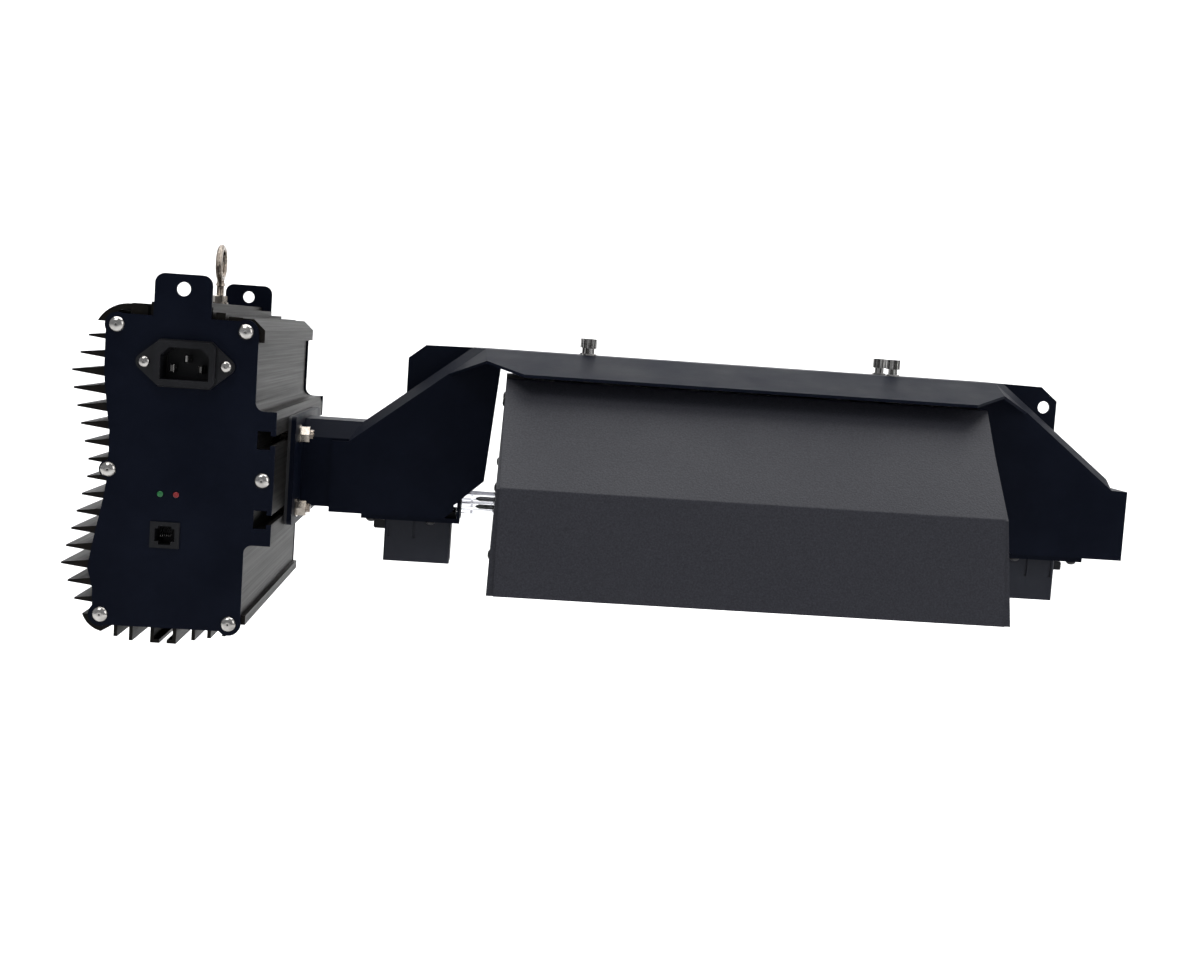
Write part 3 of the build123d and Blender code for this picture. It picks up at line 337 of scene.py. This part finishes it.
def alumina():
    """Translucent white ceramic of the arc tube."""
    p = Paint("alumina", (0.86, 0.85, 0.82), 0.35, 0.0, 0.5)
    p.set("Subsurface Weight", 0.3).set("Subsurface Radius", (0.004, 0.003, 0.0025))
    p.tint(p.mottle(120), (0.80, 0.78, 0.74), (0.92, 0.91, 0.89))
    p.gloss(p.noise(300), 0.3, 0.7, 0.28, 0.42)
    p.bump(p.noise(800), 0.00003, 0.4)
    return p.mat


MATERIALS = {
    "anodised": anodised(),
    "frame_powder": frame_powder(),
    "hood_powder": hood_powder(),
    "stainless": stainless(),
    "thread": stainless("stainless_thread", thread=450,
                        first=(0.20, 0.165, 0.135), second=(0.40, 0.35, 0.30)),
    "nut": stainless("stainless_nut", first=(0.22, 0.195, 0.165), second=(0.42, 0.385, 0.34)),
    "knurl": stainless("stainless_knurled", ridged_with_groove_shade=True),
    "reflector": reflector(),
    "black_plastic": moulded("black_plastic", (0.0045, 0.0048, 0.0058), (0.0090, 0.0094, 0.0115),
                             specular=0.22),
    "socket": moulded("socket_plastic", (0.0085, 0.0100, 0.0165), (0.0150, 0.0170, 0.0250),
                      rough=0.5, grain=900, depth=0.00007, specular=0.25),
    "black_steel": moulded("black_steel", (0.006, 0.006, 0.007), (0.012, 0.012, 0.013), 0.4, 1400),
    "pin_metal": stainless("pin_metal", ridged_with_groove_shade=True),
    "green_lens": lens("green_lens", (0.004, 0.085, 0.020), (0.010, 0.20, 0.05)),
    "red_lens": lens("red_lens", (0.14, 0.004, 0.006), (0.30, 0.010, 0.014)),
    "pcb": circuit(),
    "ferrite": winding(),
    "capacitor": moulded("capacitor", (0.010, 0.014, 0.030), (0.020, 0.025, 0.045), 0.25, 600),
    "film_block": moulded("film_block", (0.30, 0.055, 0.020), (0.42, 0.09, 0.03), 0.3, 700),
    "epoxy": moulded("epoxy", (0.012, 0.012, 0.012), (0.022, 0.022, 0.022), 0.55, 1200),
    "lead_sleeve": sleeve(),
    "pad": moulded("insulating_pad", (0.012, 0.012, 0.014), (0.022, 0.022, 0.025), 0.6, 1000),
    "foil": foil(),
    "quartz": quartz(),
    "alumina": alumina(),
}

LOOKS = {
    "anodised": ["ballast_housing"],
    "frame_powder": ["front_plate", "rear_plate", "arm_flange", "arm_channel",
                     "end_box_left", "end_box_right", "spine_cover", "ear_left", "ear_right",
                     "socket_bracket_left", "socket_bracket_right"],
    "hood_powder": ["hood_shell", "hood_end_left", "hood_end_right"],
    "stainless": ["plate_screws", "inlet_screws", "hood_posts", "board_standoffs",
                  "transistor_clamp", "thumb_washer_1", "thumb_washer_2", "thumb_washer_3",
                  "thumb_washer_4"],
    "nut": ["eye_nut", "flange_washers", "flange_nuts"],
    "black_steel": ["bracket_screws", "hood_rivets"],
    "thread": ["eye_bolt", "flange_bolts"],
    "knurl": ["thumb_screw_1", "thumb_screw_2", "thumb_screw_3", "thumb_screw_4"],
    "reflector": ["reflector_liner"],
    "black_plastic": ["inlet_body", "data_jack", "socket_button_left", "socket_button_right"],
    "socket": ["socket_body_left", "socket_body_right"],
    "pin_metal": ["inlet_pins", "socket_contacts", "lamp_pins"],
    "green_lens": ["led_green"],
    "red_lens": ["led_red"],
    "pcb": ["circuit_board"],
    "ferrite": ["emi_choke", "pfc_choke", "output_inductor"],
    "capacitor": ["bulk_capacitors"],
    "film_block": ["film_capacitors"],
    "epoxy": ["power_transistors"],
    "lead_sleeve": ["ballast_leads", "lamp_leads", "lead_grommet"],
    "pad": ["arm_pad"],
    "quartz": ["lamp_envelope"],
    "alumina": ["arc_tube"],
}
for look, members in LOOKS.items():
    for member in members:
        mesh = nodes[member].data
        mesh.materials.clear()
        mesh.materials.append(MATERIALS[look])


# ------------------------------------------------------------------ added detail
def piece(name, mesh_data, look, body):
    """Turn a bmesh into a finished, smooth-shaded piece that rides on a body."""
    data = bpy.data.meshes.new(name)
    bmesh.ops.recalc_face_normals(mesh_data, faces=mesh_data.faces)
    mesh_data.to_mesh(data)
    mesh_data.free()
    data.materials.append(MATERIALS[look])
    for polygon in data.polygons:
        polygon.use_smooth = True
    obj = bpy.data.objects.new(name, data)
    scene.collection.objects.link(obj)
    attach(obj, body)
    return obj


def add_tube(bm, points, radius, sides=8):
    """Sweep a round section along a polyline of points."""
    points = [Vector(p) for p in points]
    rings = []
    for i, point in enumerate(points):
        ahead = points[min(i + 1, len(points) - 1)] - points[max(i - 1, 0)]
        ahead.normalize()
        helper = Vector((0, 0, 1)) if abs(ahead.z) < 0.9 else Vector((1, 0, 0))
        u = ahead.cross(helper).normalized()
        v = ahead.cross(u).normalized()
        rings.append([bm.verts.new(point + (u * math.cos(a) + v * math.sin(a)) * radius)
                      for a in (2 * math.pi * k / sides for k in range(sides))])
    for a, b in zip(rings, rings[1:]):
        for k in range(sides):
            bm.faces.new((a[k], a[(k + 1) % sides], b[(k + 1) % sides], b[k]))
    bm.faces.new(rings[0][::-1])
    bm.faces.new(rings[-1])


# contact springs inside the data jack
SPRING_COUNT = 6
SPRING_PITCH = 0.00104
SPRING_RADIUS = 0.00018
jack_low, jack_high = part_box("data_jack")
jack = (jack_low + jack_high) / 2
bm = bmesh.new()
for k in range(SPRING_COUNT):
    x = jack.x - 0.0026 + k * SPRING_PITCH
    route = [
        (x, jack_high.y - 0.0015, jack.z + 0.0026),
        (x, jack_high.y - 0.006, jack.z + 0.0022),
        (x, jack_low.y + 0.0045, jack.z - 0.0004),
        (x, jack_low.y + 0.0035, jack.z - 0.0012),
        (x, jack_low.y + 0.0042, jack.z + 0.0005),
    ]
    add_tube(bm, route, SPRING_RADIUS)
piece("jack_springs", bm, "pin_metal", "frame")

# foil strips sealed in the flat ends of the lamp
FOIL_INSET = 0.036
FOIL_LENGTH = 0.030
FOIL_HALF_WIDTH = 0.0013
FOIL_LANE = 0.0022
FOIL_THICKNESS = 0.00006
FOIL_STEPS = 14
for side, name in ((-1, "foil_left"), (1, "foil_right")):
    bm = bmesh.new()
    end = lamp_low.x if side < 0 else lamp_high.x
    start = end - side * FOIL_INSET
    for lane in (-FOIL_LANE, FOIL_LANE):
        rows = []
        for k in range(FOIL_STEPS + 1):
            x = start - side * FOIL_LENGTH * k / FOIL_STEPS
            half = FOIL_HALF_WIDTH * (1.0 if 0 < k < FOIL_STEPS else 0.35)
            wave = 0.00008 * math.sin(k * 1.9 + lane * 900)
            z = lamp.z + lane
            rows.append([bm.verts.new((x, wave, z - half)), bm.verts.new((x, wave, z + half))])
        for a, b in zip(rows, rows[1:]):
            bm.faces.new((a[0], a[1], b[1], b[0]))
    bmesh.ops.solidify(bm, geom=bm.faces[:], thickness=FOIL_THICKNESS)
    piece(name, bm, "foil", "lamp")

# ------------------------------------------------------------------ stage
FLOOR_Z = cad_box[0][2] - 0.26
SWEEP_FRONT = -7.0
SWEEP_BACK = 2.2
SWEEP_RADIUS = 1.2
SWEEP_TOP = 5.0
SWEEP_LEFT, SWEEP_RIGHT = -7.0, 7.5
SWEEP_STEPS = 16


def stage_material():
    """Matt white paper."""
    p = Paint("stage_paper", (0.93, 0.93, 0.93), 0.85, 0.0, 0.1)
    p.tint(p.noise(3, detail=2), (0.925, 0.925, 0.925), (0.94, 0.94, 0.94))
    return p.mat


def sweep_floor():
    """Paper sweep: a flat floor that curves up behind the object."""
    bm = bmesh.new()
    profile = [(SWEEP_FRONT, 0.0), (SWEEP_BACK, 0.0)]
    for k in range(1, SWEEP_STEPS + 1):
        a = math.pi / 2 * k / SWEEP_STEPS
        y = SWEEP_BACK + SWEEP_RADIUS * math.sin(a)
        profile.append((y, SWEEP_RADIUS * (1 - math.cos(a))))
    profile.append((SWEEP_BACK + SWEEP_RADIUS, SWEEP_TOP))
    rows = [[bm.verts.new((x, y, FLOOR_Z + z)) for x in (SWEEP_LEFT, SWEEP_RIGHT)]
            for y, z in profile]
    for a, b in zip(rows, rows[1:]):
        bm.faces.new((a[0], a[1], b[1], b[0]))
    data = bpy.data.meshes.new("sweep")
    bm.to_mesh(data)
    bm.free()
    data.materials.append(stage_material())
    for polygon in data.polygons:
        polygon.use_smooth = True
    floor = bpy.data.objects.new("sweep", data)
    scene.collection.objects.link(floor)


sweep_floor()


def area(name, place, aim, size, power):
    """White rectangular softbox aimed at a point, its power in watts."""
    data = bpy.data.lights.new(name, "AREA")
    data.shape = "RECTANGLE"
    data.size, data.size_y = size
    data.energy = power
    light = bpy.data.objects.new(name, data)
    scene.collection.objects.link(light)
    light.location = place
    light.rotation_euler = (Vector(aim) - Vector(place)).to_track_quat("-Z", "Y").to_euler()


area("overhead", (0.3, 0.9, 2.3), (0.25, 0.7, -0.2), (3.6, 2.6), 95)
area("key", (-0.5, -1.0, 1.7), (0.25, 0.0, -0.08), (0.9, 0.9), 14)
area("backdrop_left", (-1.9, 1.2, 0.9), (-0.6, 3.2, 0.4), (1.6, 1.6), 42)
area("backdrop_right", (2.5, 1.2, 0.9), (1.2, 3.2, 0.4), (1.6, 1.6), 42)
area("right_fill", (1.6, -0.7, 0.5), (0.1, 0.0, -0.1), (0.7, 1.0), 5)

WORLD_COLOUR = (0.93, 0.95, 1.0, 1.0)
WORLD_STRENGTH = 0.35
world = bpy.data.worlds.new("studio")
scene.world = world
world.use_nodes = True
background = world.node_tree.nodes["Background"]
background.inputs["Color"].default_value = WORLD_COLOUR
background.inputs["Strength"].default_value = WORLD_STRENGTH
